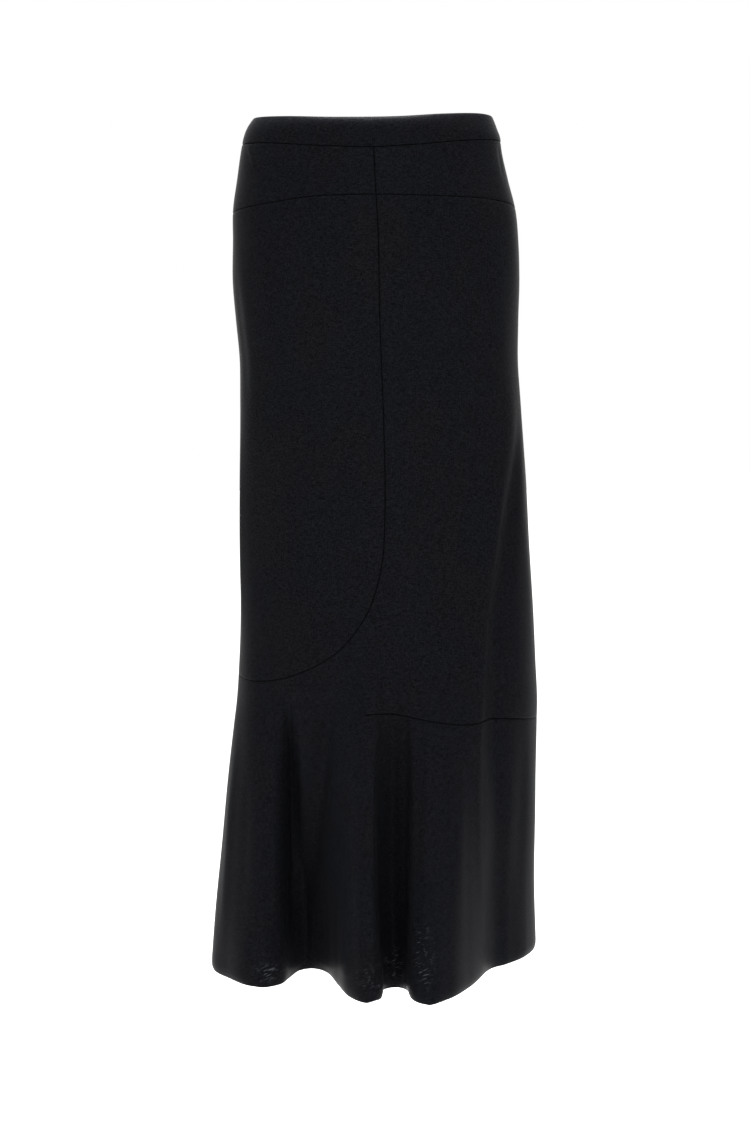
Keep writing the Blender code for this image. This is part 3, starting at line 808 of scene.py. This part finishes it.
def crepe_material():
    """Near-black crepe: cross threads, slow hue changes, painted light shining through the weave near
    the hem, painted shade in the seams and a faint gloss.
    """
    material, tree, shader = new_material("crepe")
    place = tree.nodes.new("ShaderNodeTexCoord").outputs["Object"]
    weft = stretched_noise(tree, place, WEFT, THREAD_DETAIL)
    warp = stretched_noise(tree, place, WARP, THREAD_DETAIL)
    pebbles = stretched_noise(tree, place, PEBBLES, SURFACE_DETAIL)
    slow = stretched_noise(tree, place, SLOW_CHANGE, SURFACE_DETAIL)
    threads = computed(tree, "MULTIPLY", computed(tree, "ADD", weft, warp), 0.5)

    tone = ramp_of(tree, threads, TONES)
    tinted = mixed_colour(tree, "MULTIPLY", 1.0, tone, ramp_of(tree, slow, HUES))
    # Painted light: bright strokes where light shines through the weave near the hem.
    with_shine_through = mixed_colour(tree, "MIX", shine_through_share(tree, place), tinted, SHINE_THROUGH_COLOUR)
    # Painted shade in the seams' grooves, by the mark on the mesh.
    seam_shade_mark = node_of(tree, "ShaderNodeAttribute", {"attribute_name": SEAM_SHADE_MARK}, {})
    shaded = mixed_colour(tree, "MIX", seam_shade_mark.outputs["Fac"], with_shine_through, SEAM_SHADE_COLOUR)

    relief = computed(
        tree, "ADD",
        computed(tree, "MULTIPLY", threads, THREAD_RELIEF),
        computed(tree, "MULTIPLY", pebbles, PEBBLE_RELIEF),
    )
    bump = node_of(tree, "ShaderNodeBump", {}, {
        "Strength": BUMP_STRENGTH, "Distance": BUMP_DISTANCE, "Height": relief,
    })
    roughness = ranged(tree, pebbles, UNIT_RANGE, ROUGHNESS_RANGE)

    tree.links.new(shaded, shader.inputs["Base Color"])
    tree.links.new(bump.outputs["Normal"], shader.inputs["Normal"])
    tree.links.new(roughness, shader.inputs["Roughness"])
    shader.inputs["Specular IOR Level"].default_value = SPECULAR
    shader.inputs["Sheen Weight"].default_value = SHEEN
    shader.inputs["Sheen Roughness"].default_value = SHEEN_ROUGHNESS
    shader.inputs["Sheen Tint"].default_value = SHEEN_TINT
    return material


def floor_material():
    """Plain matt white paper with a barely uneven tone."""
    material, tree, shader = new_material("studio_floor")
    noise = node_of(tree, "ShaderNodeTexNoise", {}, {
        "Scale": FLOOR_NOISE_SCALE, "Detail": FLOOR_NOISE_DETAIL,
    })
    tree.links.new(ramp_of(tree, noise.outputs["Fac"], FLOOR_TONES), shader.inputs["Base Color"])
    shader.inputs["Roughness"].default_value = FLOOR_ROUGHNESS
    return material


# ---------------------------------------------------------------- floor, lights and camera
def build_floor():
    """A wide plain floor under the hanging skirt."""
    height = cad_box[0].z - FLOOR_BELOW_HEM
    corners = [(x * FLOOR_REACH, y * FLOOR_REACH, height) for x, y in FLOOR_CORNERS]
    mesh = bpy.data.meshes.new("floor")
    mesh.from_pydata(corners, [], [tuple(range(len(corners)))])
    mesh.materials.append(floor_material())
    floor = added("floor", mesh)


def build_lights():
    """White surroundings, soft lights from behind, in front and above, and a broad sky."""
    world = bpy.data.worlds.new("studio")
    world.use_nodes = True
    background = world.node_tree.nodes["Background"]
    background.inputs["Color"].default_value = WORLD_COLOUR
    background.inputs["Strength"].default_value = WORLD_POWER
    bpy.context.scene.world = world
    for name, place, aim, size, power in LIGHTS:
        lamp = bpy.data.lights.new(name, "AREA")
        lamp.size = size
        lamp.energy = power
        light = added(name, lamp)
        light.location = place
        light.rotation_euler = (Vector(aim) - Vector(place)).to_track_quat("-Z", "Y").to_euler()
    sky = bpy.data.lights.new("sky", "SUN")
    sky.energy = SKY_POWER
    sky.angle = SKY_SPREAD
    added("sky", sky).rotation_euler = (SKY_TIP, 0.0, 0.0)
    bpy.context.scene.view_settings.view_transform = "Standard"


def build_camera():
    """The photograph's camera: level with the skirt's upper half, tipped slightly down."""
    focal_px = LENS_MM / SENSOR_MM * PHOTO_HEIGHT_PX
    middle_px = PHOTO_HEIGHT_PX / 2
    tip = math.asin((middle_px - HORIZON_PX) / focal_px)
    up_px = (middle_px - WAIST_LINE_PX) / focal_px
    climb = CAMERA_DISTANCE * math.cos(tip) * math.tan(math.atan(up_px) - tip)
    camera = added("camera", bpy.data.cameras.new("camera"))
    camera.data.sensor_width = SENSOR_MM
    camera.data.lens = LENS_MM
    camera.location = (0.0, -CAMERA_DISTANCE * math.cos(tip), -climb)
    camera.rotation_euler = (math.pi / 2 - tip, 0.0, 0.0)
    bpy.context.scene.camera = camera


build_camera()
build_floor()
build_lights()
build_cloth(crepe_material())
